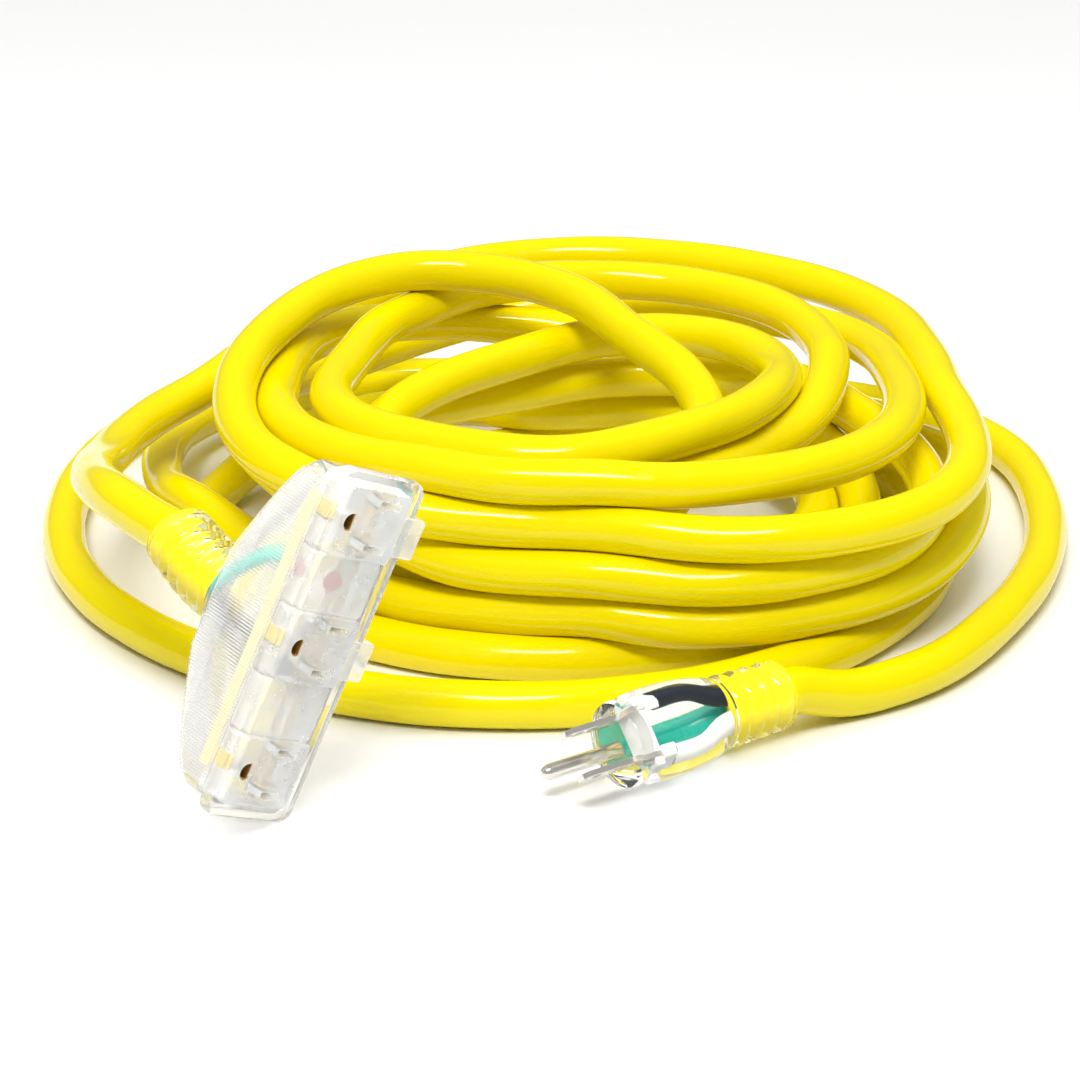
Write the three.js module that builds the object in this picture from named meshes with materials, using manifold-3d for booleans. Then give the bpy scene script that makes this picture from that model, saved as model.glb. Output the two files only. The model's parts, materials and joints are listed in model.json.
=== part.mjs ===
// Heavy-duty three-conductor extension cord: a clear three-outlet block, a clear grounded plug,
// and a thick cord wound in a loose coil between them.
// Millimetres, +X to the right, +Y to the back, +Z up. The origin is on the floor, under the middle
// of the outlet block, which stands tilted in front of the coil.
import * as THREE from "three";
import { mergeVertices } from "three/addons/utils/BufferGeometryUtils.js";
import Module from "manifold-3d";

const wasm = await Module();
wasm.setup();

// ---- Driving dimensions ----
const GAP = 0.3; // clearance between pieces that touch
const CORD_RADIUS = 7;
const WIRE_RADIUS = 2.1; // one insulated conductor
const LAY_RADIUS = 2.6; // from the cord's centre to each conductor's
const WIRE_END = 0.5; // clearance at the square end of a curved conductor
const CRIMP = { radius: 2, length: 4 };

// Grounded two-blade pattern, shared by the plug and the outlets
const BLADE = { halfPitch: 6.35, thick: 1.5, wide: 6.35, reach: 17.5, y: -4.4, chamfer: 1.6, hole: 1.6 };
const PIN = { radius: 2.4, reach: 21, y: 7.5 };

// Outlet block, in its own frame: X along its length, Y across it, Z out of the outlet face
const OUTLET_PITCH = 36.5;
const HEAD = { length: 101, width: 31, depth: 5, corner: 4 };
const BODY = { halfLength: 48.5, halfWidth: 13.75, depth: 14, shoulder: 31, neckHalf: 12 };
const NECK = { radius: 11, end: 36 };
const CORE = { length: 19.6, width: 23.4, depth: 10.2 };
const SLOT = { thick: 2.1, wide: 7.6, lip: 2.2 };
const CONTACT = { half: 2.2, sheet: 0.6, wide: 6, top: 2.8, bottom: 9.8 };
const BUS = { halfLength: 44, top: 10.75, thick: 0.8 };
const BUS_ROWS = { ground: [5.4, 9.6], line: [-8.2, -5.2], neutral: [-3.6, -0.6] };
const CHAMBER = { halfLength: 46.6, halfWidth: 11.9, top: 10.45, bottom: 11.9 };
const LAMP = { x: OUTLET_PITCH / 2, radius: 2.4, top: 4.6, bottom: 9.9 };
const TAB = { length: 10.5, reach: 6.3, thick: 3, rows: [1, 0] };

// Strain reliefs: ribbed sleeves that the cord leaves through
const BOOT = { tapLength: 30, tapBend: 0.3, plugLength: 21, outer: 11.3, end: 10.2, groove: 1.3, ribs: 5, rings: 6 };

// Plug, in its own frame: Z out of the blade face
const PLUG = { length: 36, bridge: 12, chamber: 31, bore: 11.2 };

// Where the two ends lie. `up` and `out` are the directions of each one's own +X and +Z.
const TAP_PLACE = { up: [0.387, 0.178, 0.905], out: [0.657, -0.742, -0.135] };
const PLUG_PLACE = { at: [89.8, 1, 13.3], up: [-0.32, 0.57, 0.76], out: [-0.81, -0.59, 0] };

// Coil: two heaps of turns, the narrower one lying on the wider one
const COIL_LOWER = { x: 65, y: 197, outer: 150, inner: 78, stretch: 1.06, low: 0, high: 29 };
const COIL_UPPER = { x: 71, y: 207, outer: 128, inner: 74, stretch: 1.05, low: 29.3, high: 76 };
const COIL_CHAMFER = 6;

// Routes of the two loose ends, after the strain relief that each one leaves
const TAP_ROUTE = [[-50, 57, 67], [-61, 84, 62], [-69, 122, 53], [-70, 152, 46], [-64, 194, 43], [-40, 250, 43]];
const PLUG_ROUTE = [[160, 50, 10], [182, 64, 7.5], [203, 92, 7.3], [221, 126, 7.3], [233, 160, 7.3],
  [239, 195, 7.3], [240, 228, 7.3], [235, 260, 7.5], [219, 289, 9], [195, 306, 12], [168, 309, 14]];

const CLEAR = { color: 0xe6e8e6, roughness: 0.12, metalness: 0 };
const FROSTED = { color: 0xdfe3e0, roughness: 0.3, metalness: 0 };
const WHITE = { color: 0xf2f2ec, roughness: 0.4, metalness: 0 };
const BRASS = { color: 0xd9b65c, roughness: 0.3, metalness: 1 };
const NICKEL = { color: 0xd8d6cf, roughness: 0.25, metalness: 1 };
const JACKET = { color: 0xf4e400, roughness: 0.3, metalness: 0 };
const GREEN = { color: 0x00b39c, roughness: 0.4, metalness: 0 };
const BLACK = { color: 0x10151c, roughness: 0.4, metalness: 0 };
const LAMP_RED = { color: 0xd8503c, roughness: 0.2, metalness: 0 };

// ---- Solids ----

// One closed mesh with only positions, no collapsed triangles, and its faces pointing out
function closed(geometry) {
  const bare = new THREE.BufferGeometry();
  bare.setAttribute("position", geometry.getAttribute("position").clone());
  if (geometry.index) bare.setIndex(geometry.index.clone());
  const merged = mergeVertices(bare, 1e-4);
  const corners = merged.index.array;
  const position = merged.getAttribute("position");
  const [a, b, c] = [new THREE.Vector3(), new THREE.Vector3(), new THREE.Vector3()];
  const kept = [];
  let volume = 0;
  for (let i = 0; i < corners.length; i += 3) {
    const [p, q, r] = [corners[i], corners[i + 1], corners[i + 2]];
    if (p === q || q === r || r === p) continue;
    kept.push([p, q, r]);
    a.fromBufferAttribute(position, p);
    b.fromBufferAttribute(position, q);
    c.fromBufferAttribute(position, r);
    volume += a.dot(b.cross(c));
  }
  merged.setIndex(kept.map(([p, q, r]) => (volume < 0 ? [p, r, q] : [p, q, r])).flat());
  return merged;
}

function toManifold(geometry) {
  const mesh = closed(geometry);
  return new wasm.Manifold(new wasm.Mesh({
    numProp: 3,
    vertProperties: new Float32Array(mesh.getAttribute("position").array),
    triVerts: new Uint32Array(mesh.index.array),
  }));
}

function fromManifold(solid) {
  const mesh = solid.getMesh();
  const geometry = new THREE.BufferGeometry();
  geometry.setAttribute("position", new THREE.BufferAttribute(mesh.vertProperties, 3));
  geometry.setIndex(new THREE.BufferAttribute(mesh.triVerts, 1));
  return geometry;
}

const join = (...parts) => fromManifold(parts.map(toManifold).reduce((all, part) => all.add(part)));

const cut = (base, ...tools) =>
  fromManifold(tools.map(toManifold).reduce((left, tool) => left.subtract(tool), toManifold(base)));

// A box between two heights, centred on x and y
function block(x, y, length, width, low, high) {
  return new THREE.BoxGeometry(length, width, high - low).translate(x, y, (low + high) / 2);
}

function outline(points) {
  return new THREE.Shape(points.map(([x, y]) => new THREE.Vector2(x, y)));
}

function roundOutline(radius, sides) {
  const angles = Array.from({ length: sides }, (_, i) => (2 * Math.PI * i) / sides);
  return outline(angles.map((angle) => [radius * Math.cos(angle), radius * Math.sin(angle)]));
}

function roundedRectangle(length, width, radius) {
  const [x, y] = [length / 2 - radius, width / 2 - radius];
  const shape = new THREE.Shape();
  shape.absarc(x, y, radius, 0, Math.PI / 2);
  shape.absarc(-x, y, radius, Math.PI / 2, Math.PI);
  shape.absarc(-x, -y, radius, Math.PI, 1.5 * Math.PI);
  shape.absarc(x, -y, radius, 1.5 * Math.PI, 2 * Math.PI);
  shape.closePath();
  return shape;
}

// A flat outline raised from one height to another
function raised(shape, low, high) {
  const settings = { depth: high - low, bevelEnabled: false, curveSegments: 4 };
  return new THREE.ExtrudeGeometry(shape, settings).translate(0, 0, low);
}

// An outline in x and z, thickened along y
function acrossY(points, halfWidth, y = 0) {
  return raised(outline(points), -halfWidth, halfWidth).rotateX(Math.PI / 2).translate(0, y, 0);
}

// An outline in y and z, thickened along x
function acrossX(points, halfWidth, x) {
  const turn = new THREE.Matrix4().set(0, 0, 1, x, 1, 0, 0, 0, 0, 1, 0, 0, 0, 0, 0, 1);
  return raised(outline(points), -halfWidth, halfWidth).applyMatrix4(turn);
}

// A profile of [radius, height] points turned about the Z axis
function turned(profile, segments = 20) {
  const points = profile.map(([radius, height]) => new THREE.Vector2(radius, height));
  return new THREE.LatheGeometry(points, segments).rotateX(Math.PI / 2);
}

function rod(radius, low, high, x = 0, y = 0, segments = 12) {
  return turned([[0, low], [radius, low], [radius, high], [0, high]], segments).translate(x, y, 0);
}

function tube(points, radius, sides, steps) {
  const path = new THREE.CatmullRomCurve3(points.map((point) => new THREE.Vector3(...point)), false, "centripetal");
  return new THREE.ExtrudeGeometry(roundOutline(radius, sides), { steps, extrudePath: path, bevelEnabled: false });
}

function add(parent, name, geometry, finish) {
  const shape = closed(geometry);
  shape.computeVertexNormals();
  const mesh = new THREE.Mesh(shape, new THREE.MeshStandardMaterial(finish));
  mesh.name = name;
  parent.add(mesh);
}

// A group whose own +X points up and +Z points out, as near square to each other as given
function placed({ at = [0, 0, 0], up, out }) {
  const z = new THREE.Vector3(...out).normalize();
  const x = new THREE.Vector3(...up).addScaledVector(z, -z.dot(new THREE.Vector3(...up))).normalize();
  const y = new THREE.Vector3().crossVectors(z, x);
  const group = new THREE.Group();
  group.quaternion.setFromRotationMatrix(new THREE.Matrix4().makeBasis(x, y, z));
  group.position.set(...at);
  return group;
}

// ---- Shared sub-parts ----

// A ribbed sleeve that runs from z = 0 down to z = -length, with a bore for the cord.
// The bore has the same rings as the jacket inside it, so that the two bend alike.
function bootSleeve(length) {
  const profile = [[CORD_RADIUS + GAP, 0], [BOOT.outer, 0]];
  const step = length / (BOOT.ribs + 0.5);
  for (let rib = 0; rib < BOOT.ribs; rib += 1) {
    const radius = THREE.MathUtils.lerp(BOOT.outer, BOOT.end, (rib + 1) / BOOT.ribs);
    const top = -step * (rib + 0.5);
    profile.push([radius, top], [radius - BOOT.groove, top - 0.12 * step]);
    profile.push([radius - BOOT.groove, top - 0.38 * step], [radius, top - 0.5 * step]);
  }
  profile.push([BOOT.end, -length]);
  for (let ring = BOOT.rings; ring >= 0; ring -= 1) profile.push([CORD_RADIUS + GAP, (-length * ring) / BOOT.rings]);
  return turned(profile);
}

// Bends what lies below z = 0 into an arc towards +X
function bent(geometry, length, angle) {
  const position = geometry.getAttribute("position");
  const radius = length / angle;
  for (let i = 0; i < position.count; i += 1) {
    const z = position.getZ(i);
    if (z >= 0) continue;
    const turn = -z / radius;
    const x = position.getX(i);
    position.setX(i, radius * (1 - Math.cos(turn)) + x * Math.cos(turn));
    position.setZ(i, -radius * Math.sin(turn) + x * Math.sin(turn));
  }
  return geometry;
}

// The end of the cord's jacket inside a housing and its strain relief, in short rings so that it bends
function jacketEnd(above, length) {
  const profile = [[0, above], [CORD_RADIUS, above]];
  for (let ring = 0; ring <= BOOT.rings; ring += 1) profile.push([CORD_RADIUS, (-length * ring) / BOOT.rings]);
  profile.push([0, -length]);
  return turned(profile, 16);
}

const wireStart = (angle, z) => [LAY_RADIUS * Math.cos(angle), LAY_RADIUS * Math.sin(angle), z];

// The three conductors, with their place around the cord's centre
const CONDUCTORS = [
  { name: "ground", angle: Math.PI / 2, finish: GREEN },
  { name: "line", angle: (7 * Math.PI) / 6, finish: BLACK },
  { name: "neutral", angle: -Math.PI / 6, finish: WHITE },
];

// ---- Outlet block ----

function tapBody() {
  const head = raised(roundedRectangle(HEAD.length, HEAD.width, HEAD.corner), -HEAD.depth, 0);
  const { halfLength, halfWidth, depth, shoulder, neckHalf } = BODY;
  const half = [[halfLength, -HEAD.depth + 1], [halfLength, -depth], [neckHalf, -shoulder], [neckHalf, -shoulder - 1]];
  const mirrored = half.map(([x, z]) => [-x, z]).reverse();
  const tee = acrossY([...half, ...mirrored], halfWidth);
  const neck = rod(NECK.radius, -NECK.end, -shoulder, 0, 0, 24);
  const pockets = [-1, 0, 1].map((row) =>
    block(row * OUTLET_PITCH, 0, CORE.length + 2 * GAP, CORE.width + 2 * GAP, -CHAMBER.top - 0.1, 1));
  const chamber = block(0, 0, 2 * CHAMBER.halfLength, 2 * CHAMBER.halfWidth, -CHAMBER.bottom, -CHAMBER.top);
  const lampPocket = block(LAMP.x, 0, 7, 15, -CHAMBER.top - 0.1, -LAMP.top + 1);
  const wireWay = acrossY([[27, -CHAMBER.bottom + 0.1], [9, -shoulder], [-9, -shoulder], [-27, -CHAMBER.bottom + 0.1]], 9.5);
  const bore = rod(CORD_RADIUS + GAP, -NECK.end - 1, -shoulder + 1, 0, 0, 16);
  const notches = TAB.rows.map((row) =>
    block(row * OUTLET_PITCH, -HEAD.width / 2, TAB.length + 2 * GAP, HEAD.width - CORE.width, -TAB.thick - GAP, 1));
  return cut(join(head, tee, neck), ...pockets, ...notches, chamber, lampPocket, wireWay, bore);
}

// One outlet: the insert that holds its contacts, with two blade slots and a round earth hole
function outletCore(hasTab) {
  const body = block(0, 0, CORE.length, CORE.width, -CORE.depth, 0);
  const slots = [-1, 1].flatMap((side) => [
    block(side * BLADE.halfPitch, BLADE.y, SLOT.thick, SLOT.wide, -SLOT.lip - 1, 1),
    block(side * BLADE.halfPitch, BLADE.y, 2 * CONTACT.half + 0.8, SLOT.wide + 1, -CORE.depth - 1, -SLOT.lip),
  ]);
  const earth = [
    rod(PIN.radius + 0.3, -SLOT.lip - 1, 1, 0, PIN.y, 14),
    rod(PIN.radius + 1.3, -CORE.depth - 1, -SLOT.lip, 0, PIN.y, 14),
  ];
  const insert = cut(body, ...slots, ...earth);
  if (!hasTab) return insert;
  const inner = CORE.width / 2 - 0.5;
  const outer = HEAD.width / 2 + TAB.reach;
  return join(insert, block(0, -(inner + outer) / 2, TAB.length, outer - inner, -TAB.thick, 0));
}

function bladeContact() {
  const { half, sheet, wide, top, bottom } = CONTACT;
  const leaf = half - sheet;
  const clip = [[-half, -top], [-half, -bottom], [half, -bottom], [half, -top], [leaf, -top],
    [leaf, -bottom + sheet], [-leaf, -bottom + sheet], [-leaf, -top]];
  return acrossY(clip, wide / 2, BLADE.y);
}

function earthContact() {
  const inner = PIN.radius + 0.1;
  const outer = inner + CONTACT.sheet;
  const { top, bottom } = CONTACT;
  const wall = [[inner, -top], [inner, -bottom], [outer, -bottom], [outer, -top], [inner, -top]];
  return turned(wall, 14).translate(0, PIN.y, 0);
}

function busBar([low, high]) {
  return block(0, (low + high) / 2, 2 * BUS.halfLength, high - low, -BUS.top - BUS.thick, -BUS.top);
}

function lamp() {
  const { radius, top, bottom, x } = LAMP;
  const dome = [[0, -bottom], [radius + 0.4, -bottom], [radius + 0.4, -bottom + 0.9], [radius, -bottom + 0.9]];
  for (let step = 0; step <= 4; step += 1) {
    const angle = (step * Math.PI) / 8;
    dome.push([radius * Math.cos(angle), -top - radius + radius * Math.sin(angle)]);
  }
  dome[dome.length - 1][0] = 0;
  return turned(dome, 14).translate(x, 0, 0);
}

// Each conductor's way from the end of the jacket to the crimp on its bus bar
const TAP_WIRE_WAYS = {
  ground: [[1.4, 3.4, -26.5], [7.5, 5.2, -22.5], [15, 6.6, -19.2]],
  line: [[-4.2, -2.6, -27], [-10.5, -5.2, -21.5]],
  neutral: [[3.2, -1.8, -26.5], [4.2, -2, -21]],
};
const TAP_CRIMPS = { ground: [17, 6.9], line: [-14, -6.4], neutral: [4.4, -2] };

// Moves a group so that the middle of its box's underside is the origin
function standOnOrigin(group) {
  const box = new THREE.Box3().setFromObject(group, true);
  const middle = box.getCenter(new THREE.Vector3());
  group.position.set(-middle.x, -middle.y, -box.min.z);
}

function buildTap() {
  const tap = placed(TAP_PLACE);
  add(tap, "tap_body", tapBody(), CLEAR);
  [1, 0, -1].forEach((row, index) => {
    const x = row * OUTLET_PITCH;
    const number = index + 1;
    add(tap, `outlet_${number}`, outletCore(TAB.rows.includes(row)).translate(x, 0, 0), FROSTED);
    add(tap, `line_contact_${number}`, bladeContact().translate(x - BLADE.halfPitch, 0, 0), BRASS);
    add(tap, `neutral_contact_${number}`, bladeContact().translate(x + BLADE.halfPitch, 0, 0), BRASS);
    add(tap, `ground_contact_${number}`, earthContact().translate(x, 0, 0), BRASS);
  });
  const crimpTop = -BUS.top - BUS.thick - GAP;
  const jacketTop = -BODY.shoulder + GAP;
  for (const { name, angle, finish } of CONDUCTORS) {
    const [x, y] = TAP_CRIMPS[name];
    const crimpEnd = crimpTop - CRIMP.length;
    const way = [wireStart(angle, jacketTop + WIRE_END), wireStart(angle, jacketTop + 2), ...TAP_WIRE_WAYS[name],
      [x, y, crimpEnd - 2], [x, y, crimpEnd - WIRE_END]];
    add(tap, `${name}_bus_bar`, busBar(BUS_ROWS[name]), BRASS);
    add(tap, `tap_${name}_crimp`, rod(CRIMP.radius, crimpEnd, crimpTop, x, y), NICKEL);
    add(tap, `tap_${name}_wire`, tube(way, WIRE_RADIUS, 8, 12), finish);
  }
  add(tap, "power_lamp", lamp(), LAMP_RED);
  add(tap, "lamp_resistor", rod(1.1, -LAMP.bottom, -LAMP.top - 0.6, LAMP.x, -5.4, 8), WHITE);
  const bootTop = -NECK.end - GAP;
  const boot = bent(bootSleeve(BOOT.tapLength), BOOT.tapLength, BOOT.tapBend);
  add(tap, "tap_strain_relief", boot.translate(0, 0, bootTop), CLEAR);
  const jacket = bent(jacketEnd(jacketTop - bootTop, BOOT.tapLength), BOOT.tapLength, BOOT.tapBend);
  add(tap, "tap_jacket_end", jacket.translate(0, 0, bootTop), JACKET);
  standOnOrigin(tap);
  return tap;
}

// ---- Plug ----

function plugBody() {
  const { length, chamber, bore } = PLUG;
  const shell = turned([[0, 0], [11.4, 0], [12.3, -1], [12.5, -3.5], [13, -5], [13.2, -12], [13, -22], [12.6, -29],
    [BOOT.outer, -length], [0, -length]], 28);
  const room = rod(bore + GAP, -chamber, -2, 0, 0, 24);
  const rear = rod(CORD_RADIUS + GAP, -length - 1, -chamber + 1, 0, 0, 16);
  const slots = [-1, 1].map((side) =>
    block(side * BLADE.halfPitch, BLADE.y, BLADE.thick + 2 * GAP, BLADE.wide + 2 * GAP, -3, 1));
  return cut(shell, room, rear, ...slots, rod(PIN.radius + GAP, -3, 1, 0, PIN.y, 16));
}

// The moulded bridge that holds the blades and the pin in line
function plugBridge() {
  const disc = rod(PLUG.bore, -PLUG.bridge, -2 - GAP, 0, 0, 24);
  const slots = [-1, 1].map((side) =>
    block(side * BLADE.halfPitch, BLADE.y, BLADE.thick + 2 * GAP, BLADE.wide + 2 * GAP, -PLUG.bridge - 1, 0));
  return cut(disc, ...slots, rod(PIN.radius + GAP, -PLUG.bridge - 1, 0, 0, PIN.y, 16));
}

function blade(side) {
  const [low, high] = [BLADE.y - BLADE.wide / 2, BLADE.y + BLADE.wide / 2];
  const { reach, chamfer, thick, hole } = BLADE;
  const back = -PLUG.bridge - 1;
  const plate = acrossX([[low, back], [high, back], [high, reach - chamfer], [high - chamfer, reach],
    [low + chamfer, reach], [low, reach - chamfer]], thick / 2, side * BLADE.halfPitch);
  const drill = rod(hole, -thick, thick, 0, 0, 12).rotateY(Math.PI / 2);
  return cut(plate, drill.translate(side * BLADE.halfPitch, BLADE.y, 0.7 * reach));
}

function earthPin() {
  const { radius, reach, y } = PIN;
  const back = -PLUG.bridge - 1;
  return turned([[0, back], [radius, back], [radius, reach - 2.6], [0.75 * radius, reach - 1], [0.35 * radius, reach],
    [0, reach]], 16).translate(0, y, 0);
}

const PLUG_ENDS = { ground: [0, PIN.y - 0.4], line: [BLADE.halfPitch, BLADE.y + 1], neutral: [-BLADE.halfPitch, BLADE.y + 1] };

function buildPlug() {
  const plug = placed(PLUG_PLACE);
  add(plug, "plug_body", plugBody(), CLEAR);
  add(plug, "plug_bridge", plugBridge(), WHITE);
  add(plug, "line_blade", blade(1), NICKEL);
  add(plug, "neutral_blade", blade(-1), NICKEL);
  add(plug, "ground_pin", earthPin(), NICKEL);
  const crimpTop = -PLUG.bridge - 1 - GAP;
  const crimpEnd = crimpTop - CRIMP.length;
  const jacketTop = -PLUG.chamber + GAP;
  for (const { name, angle, finish } of CONDUCTORS) {
    const [x, y] = PLUG_ENDS[name];
    const [startX, startY] = wireStart(Math.PI - angle, 0); // this end of the cord mirrors the other
    const way = [[x, y, crimpEnd - WIRE_END], [x, y, crimpEnd - 2], [(x + startX) / 2, (y + startY) / 2, -24],
      [startX, startY, jacketTop + 2], [startX, startY, jacketTop + WIRE_END]];
    add(plug, `plug_${name}_crimp`, rod(CRIMP.radius, crimpEnd, crimpTop, x, y), NICKEL);
    add(plug, `plug_${name}_wire`, tube(way, WIRE_RADIUS, 8, 8), finish);
  }
  const bootTop = -PLUG.length - GAP;
  add(plug, "plug_strain_relief", bootSleeve(BOOT.plugLength).translate(0, 0, bootTop), CLEAR);
  add(plug, "plug_jacket_end", jacketEnd(jacketTop - bootTop, BOOT.plugLength).translate(0, 0, bootTop), JACKET);
  return plug;
}

// ---- Cord ----

function coil({ x, y, outer, inner, stretch, low, high }, grow = 0) {
  const bevel = COIL_CHAMFER;
  const [near, far, base, top] = [inner - grow, outer + grow, low - grow, high + grow];
  const profile = [[near + bevel, base], [far - bevel, base], [far, base + bevel], [far, top - bevel],
    [far - bevel, top], [near + bevel, top], [near, top - bevel], [near, base + bevel], [near + bevel, base]];
  return turned(profile, 40).scale(1, stretch, 1).translate(x, y, 0);
}

// Where the cord leaves a placed end: just past the strain relief, and a little further along
function leaving(group, x, z, turn) {
  group.updateMatrixWorld(true);
  const heading = [Math.sin(turn), -Math.cos(turn)];
  return [GAP, 12].map((far) =>
    new THREE.Vector3(x + far * heading[0], 0, z + far * heading[1]).applyMatrix4(group.matrixWorld).toArray());
}

const extensionCord = new THREE.Group();
const tap = buildTap();
const plug = buildPlug();
const coilSolids = { coil_lower: COIL_LOWER, coil_upper: COIL_UPPER };
const around = Object.values(coilSolids).map((size) => coil(size, GAP));

const arc = BOOT.tapLength / BOOT.tapBend;
const tapEnd = [arc * (1 - Math.cos(BOOT.tapBend)), -NECK.end - GAP - arc * Math.sin(BOOT.tapBend)];
const tapLead = [...leaving(tap, ...tapEnd, BOOT.tapBend), ...TAP_ROUTE];
const plugLead = [...leaving(plug, 0, -PLUG.length - GAP - BOOT.plugLength, 0), ...PLUG_ROUTE];

extensionCord.add(tap, plug);
add(extensionCord, "tap_lead", cut(tube(tapLead, CORD_RADIUS, 10, 12), ...around), JACKET);
add(extensionCord, "plug_lead", cut(tube(plugLead, CORD_RADIUS, 10, 18), ...around), JACKET);
for (const [name, size] of Object.entries(coilSolids)) add(extensionCord, name, coil(size), JACKET);

export default extensionCord;
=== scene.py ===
"""A heavy-duty extension cord on a pale floor: a clear three-outlet block, a clear grounded plug, and the
yellow cord between them, wound by hand in a loose coil. Metres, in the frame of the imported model."""
import json
import math

import bmesh
import bpy
import numpy as np
from mathutils import Matrix, Vector


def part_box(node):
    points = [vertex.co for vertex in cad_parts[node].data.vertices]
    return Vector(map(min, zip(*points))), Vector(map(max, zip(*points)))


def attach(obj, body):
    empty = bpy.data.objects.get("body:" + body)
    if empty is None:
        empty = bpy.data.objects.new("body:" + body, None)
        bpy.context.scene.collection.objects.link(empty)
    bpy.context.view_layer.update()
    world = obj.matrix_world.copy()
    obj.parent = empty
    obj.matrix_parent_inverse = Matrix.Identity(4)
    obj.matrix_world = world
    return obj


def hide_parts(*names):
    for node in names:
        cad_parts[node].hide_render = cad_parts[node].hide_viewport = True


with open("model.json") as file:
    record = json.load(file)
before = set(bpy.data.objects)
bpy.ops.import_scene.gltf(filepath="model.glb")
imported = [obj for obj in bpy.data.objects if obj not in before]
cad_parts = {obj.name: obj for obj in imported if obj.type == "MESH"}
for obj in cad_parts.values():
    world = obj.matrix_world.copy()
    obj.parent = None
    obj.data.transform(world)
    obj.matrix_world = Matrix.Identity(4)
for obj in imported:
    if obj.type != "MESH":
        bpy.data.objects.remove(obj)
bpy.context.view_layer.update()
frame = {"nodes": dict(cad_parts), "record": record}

MM = 0.001
MOUNTS = {mount["name"]: mount for mount in frame["record"]["mounts"]}

# ---- The cord, in millimetres unless a line says otherwise ----
CORD_DIAMETER = 14.0
CORD_SIDES = 28
RING_SPACING = 3.5
JACKET_STRIPPED = -35.6  # where the jacket ends inside the block and the plug, from their faces
LAY_OF_CONDUCTORS = 0.045  # metres along the jacket between one swelling and the next
SWELLING = 0.00008  # metres that the twisted conductors lift the jacket

# ---- How the cord settles ----
LINK = 7.0  # spacing of the points that settle
PINNED = 5  # points held still at each end, inside the block and the plug
SETTLING_ROUNDS = 80
TIGHTEST_BEND = 52.0  # radius
BEND_LINKS = 8  # links over which the bend is measured
STIFFNESS = 0.06
SINKING = 0.25  # per round

# ---- The block and the plug, in millimetres ----
OUTLET_PITCH = 36.5
BLADE_X = 6.35  # of a blade or its slot, from the middle line
BLADE_Y = -4.4
PIN_Y = 7.3
HOLE_DEPTH = 9.6
HOLE_EASE = 0.06  # how much wider the block's holes are than its inserts' own
NECK_END = -36.3
TAP_BOOT_LENGTH = 30.0
TAP_BOOT_BEND = 0.3  # radians
PLUG_LENGTH = 36.3
PLUG_BOOT_LENGTH = 21.0
BOOT_BORE = 6.7  # a little inside the jacket's surface, as the wall is moulded on to it
BOOT_END = 10.3
BOOT_GROOVE = 1.2
CONDUCTOR_RADIUS = 2.3
CONDUCTOR_SIDES = 20

# The insulated conductors, from the end of the jacket to their crimps
TAP_WAYS = {
    "ground": [(0, 3.2, -36.5), (2, 7.6, -34.2), (7.5, 9.6, -29.5), (14.5, 10, -22.5), (18.5, 9, -17),
               (18.5, 7, -14)],
    "line": [(-1.5, 0, -36.5), (-1.6, 4.4, -31.5), (-3.5, 3.6, -27), (-10, -3, -21), (-14, -6.4, -16)],
    "neutral": [(-4.2, -2, -36.5), (-6.3, 2.6, -32), (-7, -0.8, -26.5), (-0.5, -3.5, -21), (4.4, -2, -16)],
}
PLUG_WAYS = {
    "ground": [(0, 3.0, -36.5), (0, 3.8, -31), (0, 6.2, -24), (0, 7.1, -12.8)],
    "line": [(2.6, -1.6, -36.5), (3.4, -2.2, -31), (5.9, -3.2, -24), (6.35, -3.4, -12.6)],
    "neutral": [(-2.6, -1.6, -36.5), (-3.4, -2.2, -31), (-5.9, -3.2, -24), (-6.35, -3.4, -12.8)],
}

# The loose ends, as in the solid model
TAP_ROUTE = [(-50, 57, 67), (-61, 84, 62), (-69, 122, 53), (-70, 152, 46), (-64, 194, 43), (-40, 250, 43)]
PLUG_ROUTE = [(160, 50, 10), (182, 64, 7.5), (203, 92, 7.3), (221, 126, 7.3), (233, 160, 7.3), (239, 195, 7.3),
              (240, 228, 7.3), (235, 260, 7.5), (219, 289, 9), (195, 306, 12), (168, 309, 14)]

# The wound turns, from the block's lead to the plug's: how far each passes from the coil's middle, and how
# high, at the back left, back, back right, right, front right, front, front left and left
COIL_MIDDLE = (70, 196)
TURNS = [
    [(126, 49), (151, 57), (149, 58), (131, 57), (156, 53), (112, 49), (117, 59), (93, 70)],
    [(80, 77), (47, 77), (30, 74), (32, 71), (73, 55), (98, 38), (80, 42), (42, 52)],
    [(26, 57), (30, 58), (60, 61), (77, 63), (86, 65), (98, 66), (86, 66), (63, 65)],
    [(70, 65), (92, 65), (108, 62), (94, 58), (86, 54), (97, 51), (88, 46), (58, 42)],
    [(34, 43), (38, 43), (66, 44), (108, 44), (147, 39), (116, 35), (104, 46), (103, 52)],
    [(115, 34), (122, 46), (129, 50), (118, 58), (127, 62), (112, 63), (101, 62), (87, 60)],
    [(93, 56), (84, 50), (83, 43), (97, 30), (124, 12), (120, 7), (116, 7), (116, 8)],
    [(95, 22), (52, 29), (72, 29), (90, 26), (100, 23), (100, 24), (88, 24), (72, 20)],
    [(56, 15), (60, 15), (86, 15), (134, 32), (147, 25), (116, 21), (101, 20), (126, 20)],
    [(152, 14), (126, 9), (120, 8), (130, 7), (142, 7), (154, 7), (157, 7), (161, 7)],
    [(172, 7), (141, 7)],
]


# ---- Places ----

def axes(origin, x, y, z):
    turn = Matrix((x, y, z)).transposed().to_4x4()
    return Matrix.Translation(origin) @ turn @ Matrix.Scale(MM, 4)


def middle(node):
    low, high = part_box(node)
    return (low + high) / 2


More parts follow.
